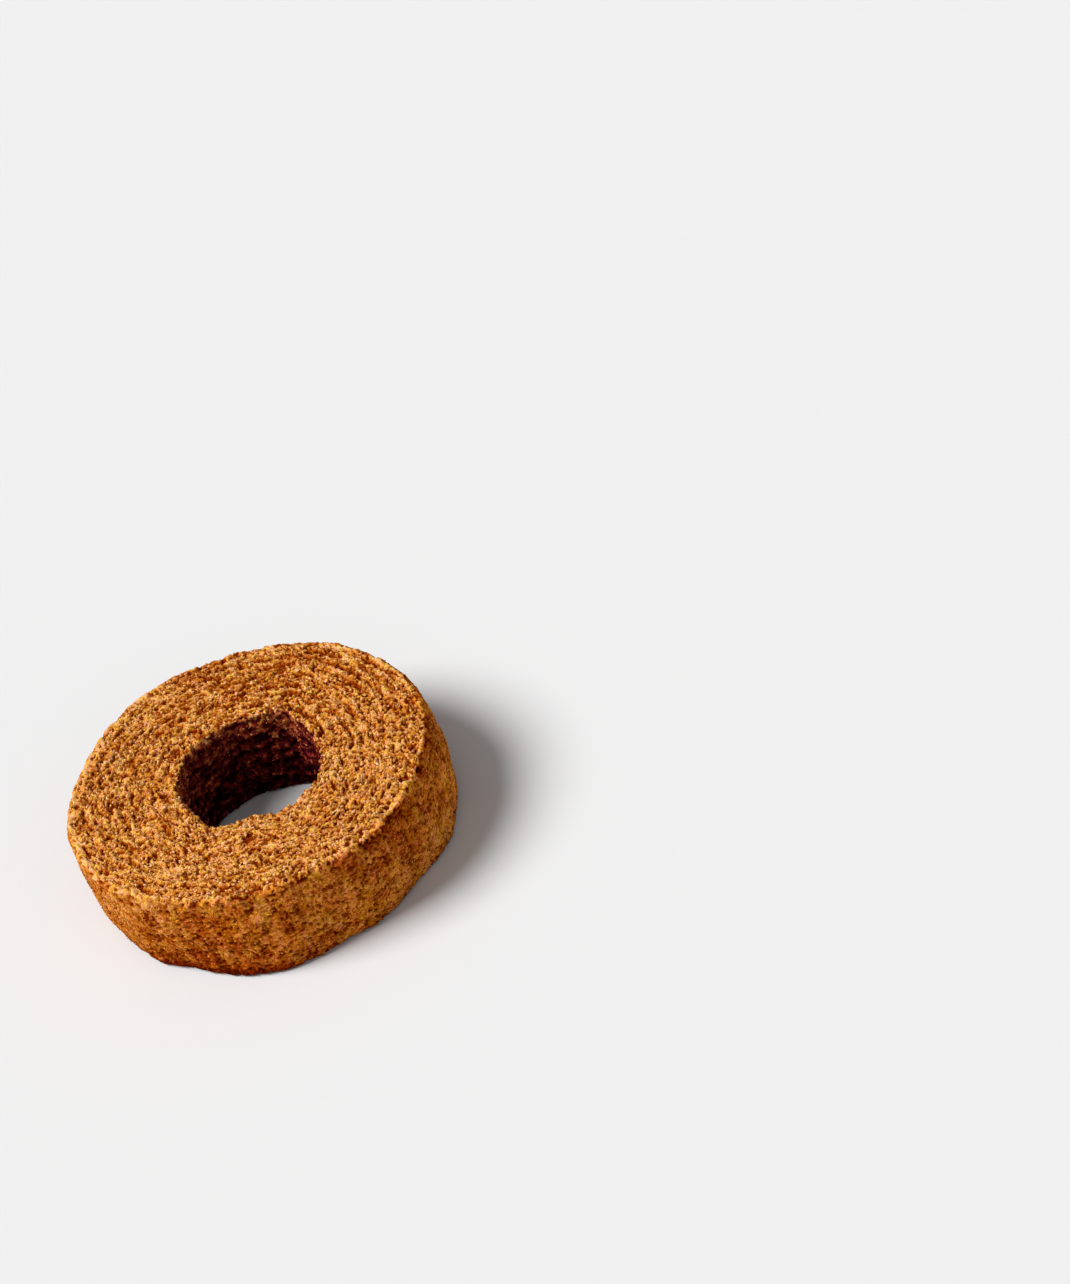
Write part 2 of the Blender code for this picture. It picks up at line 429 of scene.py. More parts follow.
def torn_away(turn, from_outside):
    """How much the gaps behind the outer layers and the chips of the edge take away here."""
    dip = 0.0
    for middle, half_length, depth, distance in SKIN_GAPS:
        beside = (from_outside - distance) / SKIN_GAP_HALF_WIDTH
        dip += depth * bell(turn, middle, half_length) * math.exp(-(beside**2))
    for middle, half_length, depth in EDGE_CHIPS:
        dip += depth * bell(turn, middle, half_length) * math.exp(-((from_outside / CHIP_REACH) ** 2))
    return dip


def plain_place(across, up, turn):
    """Where a point of the perfect ring lies, as its radius and height, and how much is torn away there."""
    angle = math.radians(turn)
    x = across * math.cos(angle)
    y = across * math.sin(angle)
    share = (across - HOLE_RADIUS) / (OUTER_RADIUS - HOLE_RADIUS)
    height_share = up / HEIGHT
    upright = 4 * height_share * (1 - height_share)
    rounding = HOLE_ROUNDING_AT_FOOT + (1 - HOLE_ROUNDING_AT_FOOT) * height_share
    out_at_hole = swell(turn, HOLE_BULGES) * rounding
    out_at_side = swell(turn, OUTLINE_BULGES) + (SIDE_BELLY + swell(turn, MIDDLE_BULGES)) * upright
    out_at_side += swell(turn, FOOT_BULGES) * (1 - height_share)
    flute = 0.5 + 0.5 * math.sin(angle * FLUTE_COUNT + lump(x, y, up, FLUTE_WANDER, shift=3.7))
    out_at_side += lump(x, y, up, SIDE_LUMPS, shift=1.3) - FLUTE_DEPTH * flute
    out_at_hole += lump(x, y, up, SIDE_LUMPS, shift=5.1)
    radius = across + out_at_hole * (1 - share) + out_at_side * share
    radius += lump(x, y, up, CRAGS, shift=8.2) * abs(2 * share - 1)
    rise = lump(x, y, up, FACE_LUMPS, shift=2.9) + lump(x, y, up, CRAGS, shift=6.4)
    rise -= GROOVE_DEPTH * groove(turn, across)
    from_hole = radius - HOLE_RADIUS - out_at_hole
    rise -= swell(turn, WORN_LIP) * math.exp(-((from_hole / WORN_REACH) ** 2))
    torn = torn_away(turn, OUTER_RADIUS + out_at_side - radius) * height_share**2
    return radius, up + rise * height_share**2 - torn, torn


def marked(turn, radius, places, reach):
    """1 at the middle of any of these places, falling to 0 around it."""
    total = 0.0
    for middle, distance in places:
        along = math.radians(turn_from(turn, middle)) * distance
        if abs(along) < 3 * reach and abs(radius - distance) < 3 * reach:
            total += math.exp(-(along**2 + 2 * (radius - distance) ** 2) / reach**2)
    return total


def cut_crumb(across, turn, x, y, z, lobe):
    """Relief in millimetres and lightness of the cut crumb, which lies in layers. A lobe has no pores."""
    near = bell(turn, *NEAR_SIDE)
    far = bell(turn, *FAR_SIDE)
    left = bell(turn, *LEFT_SIDE)
    radius = math.hypot(x, y)
    drift = across + DRIFT_REACH * pattern(x, y, z, *DRIFT_PATTERN)
    groove_tone = GROOVE_MEAN + GROOVE_UNEVENNESS * pattern(x, y, drift, *GROOVE_PATTERN)
    features = {
        "all": 1.0,
        "main": walls(x, y, drift, *CELL, z / 2),
        "small": walls(x, y, drift, *SMALL_CELL, z, SMALL_CELL_ASIDE),
        "fine": pattern(x, y, z, *FINE_PATTERN),
        "big": grade(pattern(x, y, z, *BIG_PORE_PATTERN), *BIG_PORE_STEP),
        "streak": pattern(x, y, drift, *STREAK_PATTERN),
        "clump": pattern(x, y, drift, *CLUMP_PATTERN),
        "dash": walls(x, y, drift, *DASH_PATTERN),
        "low": groove(turn, across) * groove_tone,
        "pale": marked(turn, radius, PALE_PLACES, PLACE_REACH),
        "dark": marked(turn, radius, DARK_PLACES, PLACE_REACH),
        "broad_pale": marked(turn, radius, BROAD_PALE_PLACES, BROAD_REACH),
        "broad_dark": marked(turn, radius, BROAD_DARK_PLACES, BROAD_REACH),
    }
    smooth = grade(pattern(x, y, drift, *SMOOTH_PATTERN), *SMOOTH_STEP)
    smooth *= NEAR_SMOOTH_SHARE + (1 - NEAR_SMOOTH_SHARE) * far
    skin = left * grade(across, *SKIN_STEP)
    features["smooth"] = max(smooth, skin, min(1.0, lobe + features["pale"]))
    features["pore"] = grade(weigh(features, PORES) + far * weigh(features, FAR_PORES), *PORE_STEP)
    relief = weigh(features, CUT_RELIEF) + far * weigh(features, FAR_RELIEF)
    light = weigh(features, CUT_LIGHT) + near * weigh(features, NEAR_LIGHT)
    light += far * weigh(features, FAR_LIGHT) + left * weigh(features, LEFT_LIGHT)
    light += swell(turn, FACE_LIGHT) + swell(turn, GROOVE_LIGHT) * features["low"]
    light += grade(across, *BAND_STEP) * (BAND_LEAST_LIGHT + swell(turn, BAND_LIGHT))
    return relief, light


def skin_crumb(turn, x, y, z, lobe):
    """Relief in millimetres and lightness of the browned skin, which is finer, with a painted shadow at its
    foot.
    """
    features = {
        "all": 1.0,
        "lobe": lobe,
        "main": walls(x, y, z, *SKIN_WALLS),
        "fine": pattern(x, y, z, *SKIN_FINE),
        "streak": pattern(x, y, z, *SKIN_STREAKS) + pattern(x, y, z, *SKIN_LONG_STREAKS),
        "clump": pattern(x, y, z, *SKIN_CLUMPS),
    }
    features["hollow"] = grade(weigh(features, SKIN_HOLLOWS), *SKIN_HOLLOW_STEP)
    # Hollows are darker, partly as painted shade
    light = weigh(features, SKIN_LIGHT) + swell(turn, SIDE_LIGHT)
    # Painted light and shade that change with height, then a painted contact shadow at the foot
    light += swell(turn, SIDE_FALL) * (2 * z / HEIGHT - 1)
    light -= (FOOT_SHADE + swell(turn, FOOT_SHADOW_BULGES)) * math.exp(-((z / FOOT_REACH) ** 2))
    return weigh(features, SKIN_RELIEF), light


def wall_crumb(turn, x, y, z):
    """Relief in millimetres and lightness of the hole's wall: rough ledges and torn bits."""
    features = {
        "all": 1.0,
        "ledge": pattern(x, y, z, *WALL_LEDGES),
        "main": walls(x, y, z, *WALL_CELLS),
        "fine": pattern(x, y, z, *WALL_FINE),
        "clump": pattern(x, y, z, *WALL_CLUMPS),
        "above_middle": z - HEIGHT / 2,
    }
    # Painted light and shade: lighter higher up the wall and near its top, darker deeper down and at turn 0
    light = weigh(features, WALL_LIGHT) + swell(turn, WALL_BULGES)
    light += grade(z, *WALL_TOP_STEP) * swell(turn, WALL_TOP_BULGES)
    return weigh(features, WALL_RELIEF), light


def crumb(across, turn, x, y, z, out, rise, lobe):
    """Relief in millimetres and lightness at a point whose surface faces this way."""
    cut = grade(abs(rise), *CUT_STEP)
    cut_relief, cut_light = cut_crumb(across, turn, x, y, z, lobe) if cut > 0 else (0.0, 0.0)
    skin_relief, skin_light = 0.0, 0.0
    if cut < 1:
        skin_relief, skin_light = skin_crumb(turn, x, y, z, lobe) if out > 0 else wall_crumb(turn, x, y, z)
    relief = cut * cut_relief + (1 - cut) * skin_relief
    light = cut * cut_light + (1 - cut) * skin_light
    return relief, clamped(light)


def near_corner(across, up, corner):
    """1 at the corner of the upper cut face that is this far from the axis, falling to 0 around it."""
    return math.exp(-((math.hypot(across - corner, HEIGHT - up) / RIM_REACH) ** 2))


def whole_edge(turn):
    """1 where the upper edge is left as it was cut, and down to 0 on the near side, where it is torn."""
    return 1 - bell(turn, *TORN_SIDE)


def browning(across, up, turn, out, x, y, z):
    """How browned the surface is, from 0 for cut crumb to 1 for the darkest side."""
    at_rim = near_corner(across, up, OUTER_RADIUS)
    lobe = LOBE_BROWNING * at_rim * swell(turn, EDGE_LOBES)
    if out <= 0:
        return min(1.0, lobe)
    side = 1 - swell(turn, PALE_SIDE) + PATCH_SHARE * pattern(x, y, z, *PATCH_PATTERN)
    side -= at_rim * swell(turn, PALE_RIM)
    return clamped(max(lobe, grade(out, *BROWNED_STEP) * side))


def bore_share(across, turn, out, x, y, z):
    """How much the surface shows the hole's dark wall (partly painted shade): fully in the hole, and in bands
    round its lip.
    """
    ragged = sum(reach * pattern(x, y, z, length, length, shift) for reach, length, shift in WALL_RAG)
    deep = WALL_A_MM_DOWN * (HEIGHT - z) if out < 0 else 0.0
    wall = grade(-out + WALL_RAG_SHARE * ragged + deep, *WALL_STEP)
    from_lip = across - HOLE_RADIUS
    if from_lip > LIP_BAND_LIMIT or z < HEIGHT / 2 or wall == 1:
        return wall
    far_lip = bell(turn, *FAR_LIP)
    band = FAR_LIP_SHARE * grade(far_lip, *FAR_LIP_STEP)
    band *= grade(FAR_LIP_BAND * far_lip + ragged - from_lip, *LIP_BAND_STEP)
    fringe = bell(turn, *LEFT_LIP) * grade(LEFT_LIP_RAG_SHARE * ragged - from_lip, *LIP_BAND_STEP)
    return max(wall, band, fringe)


def point_of(across, up, turn, out, rise, bury=0.0):
    """A point of the finished surface in millimetres, sunk by bury, and its lightness.

    out and rise are the surface's direction: away from the axis, and up.
    """
    radius, height, torn = plain_place(across, up, turn)
    angle = math.radians(turn)
    x = radius * math.cos(angle)
    y = radius * math.sin(angle)
    at_rim = near_corner(across, up, OUTER_RADIUS)
    at_lip = near_corner(across, up, HOLE_RADIUS)
    lobe = at_rim * swell(turn, EDGE_LOBES)
    relief, light = crumb(across, turn, x, y, height, out, rise, lobe)
    if rise < UNDERSIDE_RISE:
        relief = min(0.0, relief - UNDERSIDE_SINK) * UNDERSIDE_RELIEF
    # Painted shade on the foot's rounding, the darker the more it faces down
    if out > 0 > rise:
        light = max(0.0, light + UNDERSIDE_SHADE * rise)
    rag = lump(x, y, height, EDGE_RAG, shift=12.3) + lump(x, y, height, FINE_EDGE_RAG, shift=15.8)
    relief += rag * (at_rim * (1 - WHOLE_EDGE_CALM * whole_edge(turn)) + LIP_RAG_FACTOR * at_lip)
    if up > HEIGHT - RIM_REACH:
        rim_pit = grade(pattern(x, y, height, *RIM_PIT_PATTERN), *RIM_PIT_STEP)
        rim_pit *= min(1.0, at_rim * swell(turn, PITTED_RIM))
        relief -= RIM_PIT_DEPTH * rim_pit
        # Painted shade in the torn chips and the pits, and the lobes' partly painted highlight
        light += at_rim * swell(turn, RIM_LIGHT) + LOBE_LIGHT * lobe
        light = clamped(light - TORN_SHADE * torn - RIM_PIT_SHADE * rim_pit)
    relief -= bury
    radius += relief * out + LOBE_REACH * lobe
    height = max(0.0, height + relief * rise + LOBE_REACH * lobe)
    return radius * math.cos(angle), radius * math.sin(angle), height, light


def profile():
    """The rings of points that make up the surface, down the side first: (across, up, out, rise, cell)."""
    rows = []

    def straight(across, up, to_across, to_up, out, rise, cell):
        steps = max(1, round(math.hypot(to_across - across, to_up - up) / cell))
        for step in range(steps):
            t = step / steps
            rows.append((across + (to_across - across) * t, up + (to_up - up) * t, out, rise, cell))

    def arc(across, up, radius, start, end, cell):
        steps = max(2, round(radius * math.radians(abs(end - start)) / cell))
        for step in range(steps):
            angle = math.radians(start + (end - start) * step / steps)
            out = math.cos(angle)
            rise = math.sin(angle)
            rows.append((across + radius * out, up + radius * rise, out, rise, cell))

    top = HEIGHT - TOP_EDGE_RADIUS
    lip = HEIGHT - HOLE_EDGE_RADIUS
    foot = FOOT_EDGE_RADIUS
    face_start = HOLE_RADIUS + HOLE_EDGE_RADIUS
    face_end = OUTER_RADIUS - TOP_EDGE_RADIUS
    straight(OUTER_RADIUS, top, OUTER_RADIUS, foot, 1, 0, SIDE_CELL)
    arc(OUTER_RADIUS - foot, foot, foot, 0, -90, FOOT_CELL)
    straight(OUTER_RADIUS - foot, 0, HOLE_RADIUS + foot, 0, 0, -1, UNDER_CELL)
    arc(HOLE_RADIUS + foot, foot, foot, 270, 180, FOOT_CELL)
    straight(HOLE_RADIUS, foot, HOLE_RADIUS, lip, -1, 0, BORE_CELL)
    arc(face_start, lip, HOLE_EDGE_RADIUS, 180, 90, EDGE_CELL)
    straight(face_start, HEIGHT, face_end, HEIGHT, 0, 1, FACE_CELL)
    arc(face_end, top, TOP_EDGE_RADIUS, 90, 0, EDGE_CELL)
    return rows


def turn_after(turns, index):
    """The turn of the point after this one, which is 360 or more after the last point."""
    following = index + 1
    return turns[following] if following < len(turns) else 360.0 + turns[following - len(turns)]


def zip_rings(faces, first, first_start, second, second_start):
    """Joins two rings of points with triangles, taking next whichever ring's next point comes sooner."""
    i = 0
    j = 0
    first_count = len(first)
    second_count = len(second)
    while i < first_count or j < second_count:
        a = first_start + i % first_count
        b = second_start + j % second_count
        if j >= second_count or (i < first_count and turn_after(first, i) < turn_after(second, j)):
            faces.append((a, b, first_start + (i + 1) % first_count))
            i += 1
        else:
            faces.append((a, b, second_start + (j + 1) % second_count))
            j += 1


def ring_surface():
    """The whole surface as points, what each point's attributes are, and triangles."""
    places = []
    numbers = {"light": [], "skin": [], "bore": []}
    rings = []
    for across, up, out, rise, cell in profile():
        count = max(LEAST_POINTS, round(2 * math.pi * across / cell))
        begin = chance.random()
        turns = []
        rings.append((turns, len(places)))
        for index in range(count):
            turn = 360 * (index + begin + JITTER * (chance.random() - 0.5)) / count
            turns.append(turn)
            slip = JITTER * (chance.random() - 0.5) * cell
            x, y, z, light = point_of(across + slip * rise, up - slip * out, turn, out, rise)
            places.append((x, y, z))
            numbers["light"].append(light)
            numbers["skin"].append(browning(across, up, turn, out, x, y, z))
            numbers["bore"].append(bore_share(across, turn, out, x, y, z))
    faces = []
    for index, (turns, start) in enumerate(rings):
        next_turns, next_start = rings[(index + 1) % len(rings)]
        zip_rings(faces, turns, start, next_turns, next_start)
    return places, numbers, faces


def mesh_piece(name, places, faces, numbers):
    """A smooth mesh object from points in millimetres. numbers has each attribute's value at each point."""
    mesh = bpy.data.meshes.new(name)
    mesh.from_pydata([(x * MM, y * MM, z * MM) for x, y, z in places], [], faces)
    for attribute, values in numbers.items():
        layer = mesh.attributes.new(attribute, "FLOAT", "POINT")
        layer.data.foreach_set("value", values)
    mesh.shade_smooth()
    piece = bpy.data.objects.new(name, mesh)
    bpy.context.scene.collection.objects.link(piece)
    return piece


def ball_corners():
    """The twelve corners of an icosahedron."""
    golden = (1 + math.sqrt(5)) / 2
    corners = []
    for a, b in ((1, golden), (-1, golden), (1, -golden), (-1, -golden)):
        corners += [Vector((0, a, b)), Vector((a, b, 0)), Vector((b, 0, a))]
    return corners


def chip_corners():
    """The six corners of an octahedron whose edges are as long as the icosahedron's."""
    reach = math.sqrt(2)
    corners = []
    for side in (reach, -reach):
        corners += [Vector((side, 0, 0)), Vector((0, side, 0)), Vector((0, 0, side))]
    return corners


def hull_faces(corners):
    """The faces of either: each three corners that are all next to one another, turned outwards."""
    faces = []
    for a in range(len(corners)):
        for b in range(a + 1, len(corners)):
            for c in range(b + 1, len(corners)):
                p, q, r = corners[a], corners[b], corners[c]
                if max((p - q).length, (q - r).length, (p - r).length) < NEIGHBOUR_REACH:
                    outward = (q - p).cross(r - p).dot(p + q + r) > 0
                    faces.append((a, b, c) if outward else (a, c, b))
    return faces


def grain_shapes(corners):
    """Some curled crumbs of unit length along x, lying in the xy plane, and the faces that they share."""
    shapes = []
    for _ in range(GRAIN_SHAPES):
        width = chance.uniform(*GRAIN_WIDTH)
        thickness = chance.uniform(*GRAIN_THICKNESS)
        curl = chance.uniform(*GRAIN_CURL)
        shape = []
        for corner in corners:
            point = corner.normalized() * chance.uniform(*GRAIN_RADIUS)
            curled = point.y * width + curl * (point.x**2 - GRAIN_CURL_MIDDLE)
            shape.append(Vector((point.x, curled, point.z * thickness)))
        shapes.append(shape)
    return shapes, hull_faces(corners)


def grain_axes(turn, out, rise):
    """The length, width and thickness directions of a grain that lies on a surface facing this way."""
    angle = math.radians(turn)
    facing = Vector((math.cos(angle) * out, math.sin(angle) * out, rise))
    facing += GRAIN_TILT * Vector((chance.gauss(0, 1), chance.gauss(0, 1), chance.gauss(0, 1)))
    facing.normalize()
    swing = math.radians(chance.gauss(0, GRAIN_SWING))
    along = Vector((-math.sin(angle), math.cos(angle), 0.0))
    sideways = facing.cross(along).normalized()
    along = sideways.cross(facing)
    lengthwise = along * math.cos(swing) + sideways * math.sin(swing)
    return lengthwise, facing.cross(lengthwise), facing


def grain_wall_share(walled, turn, z):
    """Whether a grain is dark like the hole's wall, where the surface under it is so by this share."""
    if walled < 1:
        return 0.0 if chance.random() > WALL_GRAIN_SHARE * walled else 1.0
    golden = swell(turn, GOLDEN_WALL) * grade(z, *GOLDEN_STEP)
    return GOLDEN_WALL_SHARE if chance.random() < golden else walled


def scatter(name, spot, kind, count, sizes, sunk_share):
    """One piece of grains, at places as spot() gives them, in shapes that grain_shapes() made."""
    shapes, shape_faces = kind
    least, greatest = sizes
    places = []
    faces = []
    numbers = {"tone": [], "skin": [], "bore": []}
    made = 0
    while made < count:
        across, up, turn, out, rise = spot()
        size = least + (greatest - least) * chance.random() ** SMALLNESS
        sunk = sunk_share * size + RIM_SINK * near_corner(across, up, OUTER_RADIUS) * whole_edge(turn)
        x, y, z, light = point_of(across, up, turn, out, rise, sunk)
        if chance.random() > LEAST_SHARE + (1 - LEAST_SHARE) * grade(light, *LIGHT_CRUMB_STEP):
            continue
        lengthwise, crosswise, facing = grain_axes(turn, out, rise)
        browned = browning(across, up, turn, out, x, y, z)
        walled = grain_wall_share(bore_share(across, turn, out, x, y, z), turn, z)
        tone = chance.gauss(*GRAIN_TONE) + TONE_BY_LIGHT * (light - TONE_MIDDLE_LIGHT)
        tone = clamped(tone - WALL_TONE_SHADE * walled)
        start = len(places)
        shape = chance.choice(shapes)
        for corner in shape:
            grain = size * (corner.x * lengthwise + corner.y * crosswise + corner.z * facing)
            places.append((x + grain.x, y + grain.y, max(0.0, z + grain.z)))
        for key, value in (("tone", tone), ("skin", browned), ("bore", walled)):
            numbers[key] += [value] * len(shape)
        for a, b, c in shape_faces:
            faces.append((start + a, start + b, start + c))
        made += 1
    return mesh_piece(name, places, faces, numbers)


def face_spot():
    """A place on the upper cut face, its rounded edges included, as likely anywhere."""
    low = HOLE_RADIUS + FACE_MARGINS[0]
    high = OUTER_RADIUS - FACE_MARGINS[1]
    across = math.sqrt(chance.uniform(low**2, high**2))
    up = HEIGHT
    out = 0.0
    rise = 1.0
    inner = HOLE_RADIUS + HOLE_EDGE_RADIUS - across
    outer = across - OUTER_RADIUS + TOP_EDGE_RADIUS
    if inner > 0:
        out = -inner / HOLE_EDGE_RADIUS
        rise = math.sqrt(1 - out * out)
        up = HEIGHT - HOLE_EDGE_RADIUS * (1 - rise)
    elif outer > 0:
        out = outer / TOP_EDGE_RADIUS
        rise = math.sqrt(1 - out * out)
        up = HEIGHT - TOP_EDGE_RADIUS * (1 - rise)
    return across, up, chance.uniform(0, 360), out, rise


def side_spot():
    """A place on the side, its rounded upper edge included."""
    up = chance.uniform(SIDE_MARGINS[0], HEIGHT - SIDE_MARGINS[1])
    turn = chance.uniform(0, 360)
    over = up - HEIGHT + TOP_EDGE_RADIUS
    if over > 0:
        rise = over / TOP_EDGE_RADIUS
        out = math.sqrt(1 - rise * rise)
        return OUTER_RADIUS - TOP_EDGE_RADIUS * (1 - out), up, turn, out, rise
    return OUTER_RADIUS, up, turn, 1.0, 0.0


def bore_spot():
    """A place on the wall of the hole."""
    up = chance.uniform(BORE_FOOT_MARGIN, HEIGHT - HOLE_EDGE_RADIUS)
    return HOLE_RADIUS, up, chance.uniform(0, 360), -1.0, 0.0


# Colours of cut crumb, browned skin and the hole's wall, by tone
CUT_COLOURS = (
    (0.10, (0.19, 0.018, 0.0005)),
    (0.32, (0.37, 0.076, 0.004)),
    (0.55, (0.60, 0.225, 0.034)),
    (0.75, (0.84, 0.42, 0.125)),
    (0.95, (0.98, 0.56, 0.235)),
)
SIDE_COLOURS = (
    (0.00, (0.070, 0.007, 0.0004)),
    (0.10, (0.165, 0.013, 0.0003)),
    (0.32, (0.29, 0.044, 0.003)),
    (0.55, (0.43, 0.112, 0.011)),
    (0.75, (0.62, 0.203, 0.036)),
    (0.95, (0.90, 0.36, 0.090)),
)
# The hole's wall is browned crust, darkened further as painted shade of the deep hole
WALL_COLOURS = (
    (0.15, (0.008, 0.001, 0.0012)),
    (0.45, (0.068, 0.006, 0.007)),
    (0.65, (0.230, 0.017, 0.013)),
    (0.90, (0.500, 0.140, 0.036)),
)

# What these are multiplied by at a pattern's lows and highs: broad and small patches, smears and flecks
WARMTH = ((0.40, (1.0, 1.06, 1.0)), (0.62, (1.0, 0.88, 0.72)))
TINT = ((0.36, (1.0, 1.02, 0.50)), (0.64, (1.0, 0.96, 1.45)))
SMEARS = ((0.40, (1.0, 0.87, 0.75)), (0.60, (1.0, 1.06, 0.60)))
FLECKS = ((0.64, (1.0, 1.0, 1.0)), (0.68, (0.45, 0.20, 0.25)))
SMEAR_STRETCH = 4.0
FLECK_STRETCH = 0.6

# How much the patterns of the materials change the tone
GRAIN_SHARE = 0.95
GRAIN_SHARE_ON_SKIN = 0.4
PATCH_TONE_SHARE = 0.25
SPECKLE_SHARE = 0.5
CRUMB_ROUGHNESS = 0.85

# The Mix node's sockets for colours, which share their names with others
MIX_FIRST = 6
MIX_SECOND = 7
MIX_RESULT = 2


class Graph:
    """Short calls to build a material's nodes."""

    def __init__(self, name):
        self.material = bpy.data.materials.new(name)
        self.material.use_nodes = True
        self.tree = self.material.node_tree
        self.shader = self.tree.nodes["Principled BSDF"]

    def add(self, kind, **settings):
        node = self.tree.nodes.new(kind)
        for key, value in settings.items():
            setattr(node, key, value)
        return node

    def join(self, source, target):
        self.tree.links.new(source, target)

    def fill(self, socket, value):
        if isinstance(value, bpy.types.NodeSocket):
            self.join(value, socket)
        else:
            socket.default_value = value

    def number(self, attribute):
        return self.add("ShaderNodeAttribute", attribute_name=attribute).outputs["Fac"]

    def maths(self, operation, *values):
        node = self.add("ShaderNodeMath", operation=operation)
        for socket, value in zip(node.inputs, values):
            self.fill(socket, value)
        return node.outputs[0]

    def millimetres(self):
        coordinates = self.add("ShaderNodeTexCoord")
        scale = self.add("ShaderNodeVectorMath", operation="SCALE")
        self.join(coordinates.outputs["Object"], scale.inputs[0])
        scale.inputs["Scale"].default_value = 1000
        return scale.outputs[0]

    def upright(self, place, stretch):
        """The same place, for patterns drawn out this many times along the ring's axis."""
        node = self.add("ShaderNodeVectorMath", operation="MULTIPLY")
        self.join(place, node.inputs[0])
        node.inputs[1].default_value = (1.0, 1.0, 1 / stretch)
        return node.outputs[0]

    def noise(self, place, per_mm, detail, roughness):
        node = self.add("ShaderNodeTexNoise")
        self.join(place, node.inputs["Vector"])
        node.inputs["Scale"].default_value = per_mm
        node.inputs["Detail"].default_value = detail
        node.inputs["Roughness"].default_value = roughness
        return node.outputs["Fac"]

    def around(self, value, share, base):
        """base with share of how far a noise value is from its middle."""
        return self.maths("MULTIPLY_ADD", self.maths("SUBTRACT", value, 0.5), share, base)

    def ramp(self, value, stops):
        node = self.add("ShaderNodeValToRGB")
        elements = node.color_ramp.elements
        while len(elements) < len(stops):
            elements.new(1.0)
        for element, (position, colour) in zip(elements, stops):
            element.position = position
            element.color = (*colour, 1.0)
        self.fill(node.inputs["Fac"], value)
        return node.outputs["Color"]

    def mix(self, share, first, second, blend="MIX"):
        node = self.add("ShaderNodeMix", data_type="RGBA", blend_type=blend)
        self.fill(node.inputs["Factor"], share)
        self.fill(node.inputs[MIX_FIRST], first)
        self.fill(node.inputs[MIX_SECOND], second)
        return node.outputs[MIX_RESULT]

    def tinted(self, colour, value, stops):
        """The colour multiplied by a ramp's colour for this value."""
        return self.mix(1.0, colour, self.ramp(value, stops), "MULTIPLY")

    def bump(self, height, distance):
        node = self.add("ShaderNodeBump")
        self.join(height, node.inputs["Height"])
        node.inputs["Distance"].default_value = distance * MM
        node.inputs["Strength"].default_value = 1.0
        self.join(node.outputs["Normal"], self.shader.inputs["Normal"])

    def matt(self, roughness):
        self.shader.inputs["Roughness"].default_value = roughness
        self.shader.inputs["Specular IOR Level"].default_value = 0.0


def crumb_colour(graph, tone, place):
    """The colour of cut crumb, browned skin or the hole's wall, from its tone."""
    smear = graph.noise(graph.upright(place, SMEAR_STRETCH), per_mm=0.7, detail=2.0, roughness=0.6)
    fleck = graph.noise(graph.upright(place, FLECK_STRETCH), per_mm=0.85, detail=1.0, roughness=0.5)
    side = graph.tinted(graph.ramp(tone, SIDE_COLOURS), smear, SMEARS)
    side = graph.tinted(side, fleck, FLECKS)
    colour = graph.mix(graph.number("skin"), graph.ramp(tone, CUT_COLOURS), side)
    colour = graph.tinted(colour, graph.noise(place, per_mm=0.30, detail=2.0, roughness=0.5), WARMTH)
    colour = graph.tinted(colour, graph.noise(place, per_mm=0.9, detail=1.0, roughness=0.5), TINT)
    return graph.mix(graph.number("bore"), colour, graph.ramp(tone, WALL_COLOURS))


def crumb_material():
    graph = Graph("crumb_body")
    place = graph.millimetres()
    grain = graph.noise(place, per_mm=2.3, detail=3.0, roughness=0.7)
    patch = graph.noise(place, per_mm=0.22, detail=2.0, roughness=0.5)
    share = graph.maths("MULTIPLY_ADD", graph.number("skin"), GRAIN_SHARE_ON_SKIN, GRAIN_SHARE)
    tone = graph.around(patch, PATCH_TONE_SHARE, graph.around(grain, share, graph.number("light")))
    graph.join(crumb_colour(graph, tone, place), graph.shader.inputs["Base Color"])
    graph.matt(CRUMB_ROUGHNESS)
    graph.bump(graph.noise(place, per_mm=3.6, detail=3.0, roughness=0.65), distance=0.22)
    return graph.material


def grain_material():
    graph = Graph("crumb_grains")
    place = graph.millimetres()
    speckle = graph.noise(place, per_mm=3.0, detail=2.0, roughness=0.5)
    tone = graph.around(speckle, SPECKLE_SHARE, graph.number("tone"))
    graph.join(crumb_colour(graph, tone, place), graph.shader.inputs["Base Color"])
    graph.matt(CRUMB_ROUGHNESS)
    graph.bump(graph.noise(place, per_mm=5.0, detail=2.0, roughness=0.6), distance=0.12)
    return graph.material


# The studio, in metres: the floor, the light of the sky, and the camera's place, directions and lens
FLOOR_SIZE = 6.0
PAPER = (0.70, 0.70, 0.70, 1.0)
SKY = (1.0, 1.0, 1.0, 1.0)
SKY_STRENGTH = 0.23
CAMERA_PLACE = (-0.00053, -0.61281, 0.5129)
CAMERA_RIGHT = (0.915, -0.305, -0.266)
CAMERA_ABOVE = (0.397, 0.551, 0.734)
FOCAL_LENGTH = 114.4
SENSOR_WIDTH = 36.0
CLIP_START = 0.01


def add_floor():
    """The pale floor."""
    bpy.ops.mesh.primitive_plane_add(size=FLOOR_SIZE)
    floor = bpy.context.object
    floor.name = "studio_floor"
    paper = Graph("studio_paper")
    paper.shader.inputs["Base Color"].default_value = PAPER
    paper.matt(1.0)
    floor.data.materials.append(paper.material)


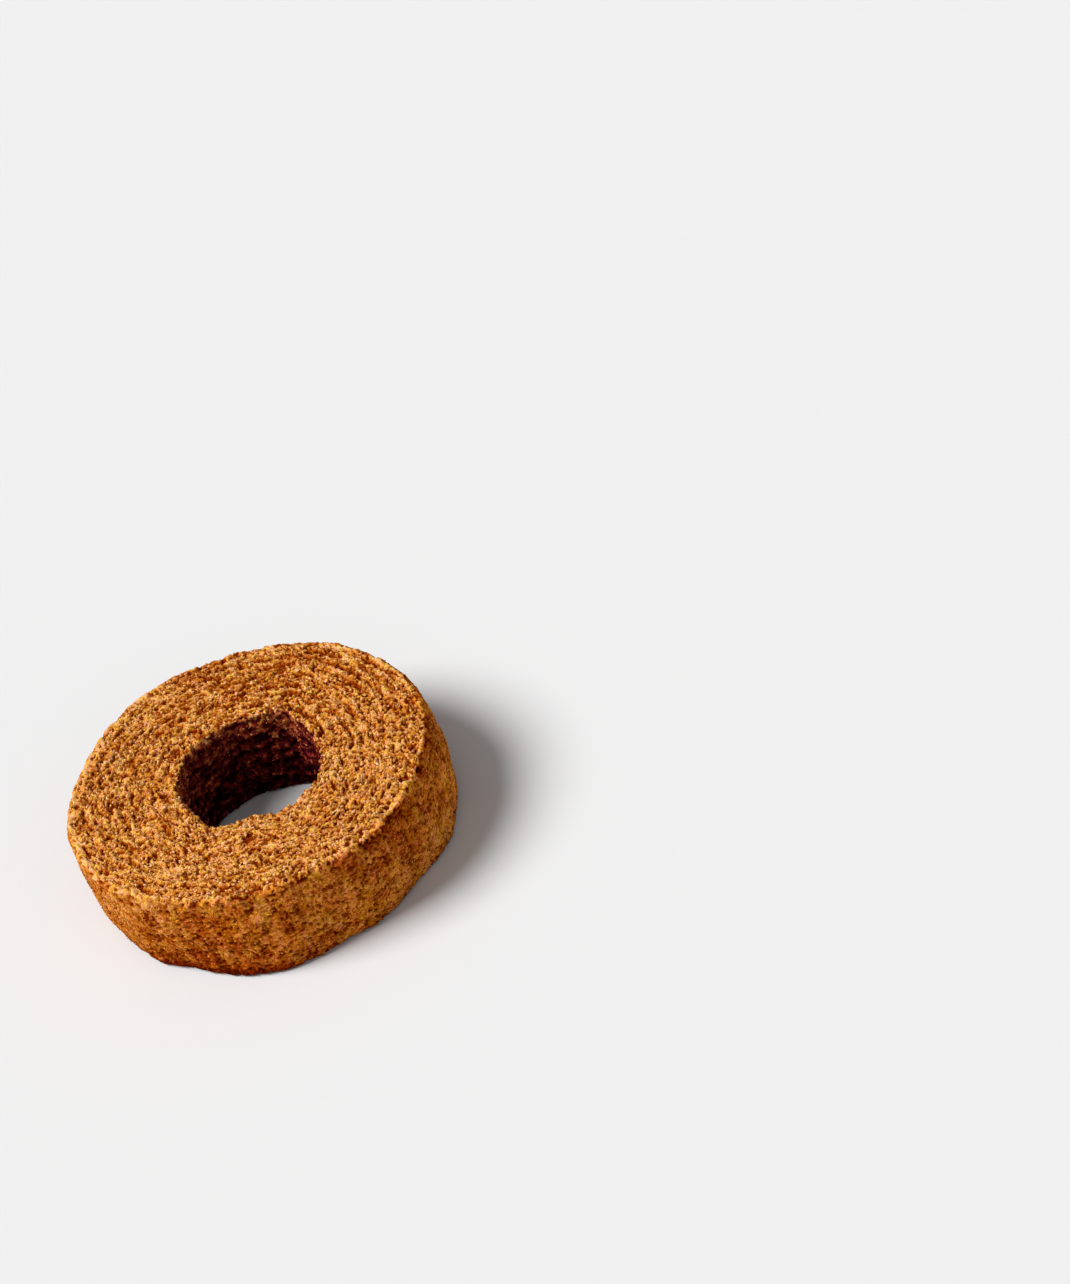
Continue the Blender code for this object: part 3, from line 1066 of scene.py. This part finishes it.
def soft_light(name, turn, height, strength, spread):
    """A distant softbox at this turn and height above the floor, in degrees."""
    lamp = bpy.data.lights.new(name, "SUN")
    lamp.energy = strength
    lamp.angle = math.radians(spread)
    light = bpy.data.objects.new(name, lamp)
    bpy.context.scene.collection.objects.link(light)
    around = math.radians(turn)
    over = math.radians(height)
    level = math.cos(over)
    towards = Vector((math.cos(around) * level, math.sin(around) * level, math.sin(over)))
    light.rotation_euler = towards.to_track_quat("Z", "Y").to_euler()


def add_lights():
    """The even light of the sky and two soft lamps."""
    world = bpy.data.worlds.new("studio")
    world.use_nodes = True
    sky = world.node_tree.nodes["Background"]
    sky.inputs["Color"].default_value = SKY
    sky.inputs["Strength"].default_value = SKY_STRENGTH
    bpy.context.scene.world = world
    soft_light("key", turn=173, height=50, strength=3.95, spread=32)
    soft_light("fill", turn=285, height=35, strength=0.31, spread=60)


def add_camera():
    """The photo's camera, turned with the ring, which lies flat here and leans in the photo."""
    lens = bpy.data.cameras.new("camera")
    lens.lens = FOCAL_LENGTH
    lens.sensor_width = SENSOR_WIDTH
    lens.clip_start = CLIP_START
    camera = bpy.data.objects.new("camera", lens)
    bpy.context.scene.collection.objects.link(camera)
    above = Vector(CAMERA_ABOVE).normalized()
    right = Vector(CAMERA_RIGHT)
    right = (right - above * right.dot(above)).normalized()
    directions = Matrix((right, above, right.cross(above))).transposed().to_4x4()
    camera.matrix_world = Matrix.Translation(CAMERA_PLACE) @ directions
    bpy.context.scene.camera = camera
    bpy.context.scene.view_settings.view_transform = "Standard"


def main():
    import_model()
    places, numbers, faces = ring_surface()
    points = np.array(places)
    middle = (points.min(axis=0) + points.max(axis=0)) / 2
    body = mesh_piece("crumb_ring", places, faces, numbers)
    body.data.materials.append(crumb_material())
    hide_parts("ring")
    balls = grain_shapes(ball_corners())
    chips = grain_shapes(chip_corners())
    grains = [
        scatter("coarse_grains", face_spot, balls, *COARSE_GRAINS),
        scatter("fine_grains", face_spot, chips, *FINE_GRAINS),
        scatter("side_grains", side_spot, balls, *SIDE_GRAINS),
        scatter("side_fine_grains", side_spot, chips, *SIDE_FINE_GRAINS),
        scatter("bore_grains", bore_spot, balls, *BORE_GRAINS),
    ]
    material = grain_material()
    for piece in grains:
        piece.data.materials.append(material)
    for piece in (body, *grains):
        piece.data.transform(Matrix.Translation((-middle[0] * MM, -middle[1] * MM, 0.0)))
        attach(piece, "root")
    add_floor()
    add_lights()
    add_camera()


main()
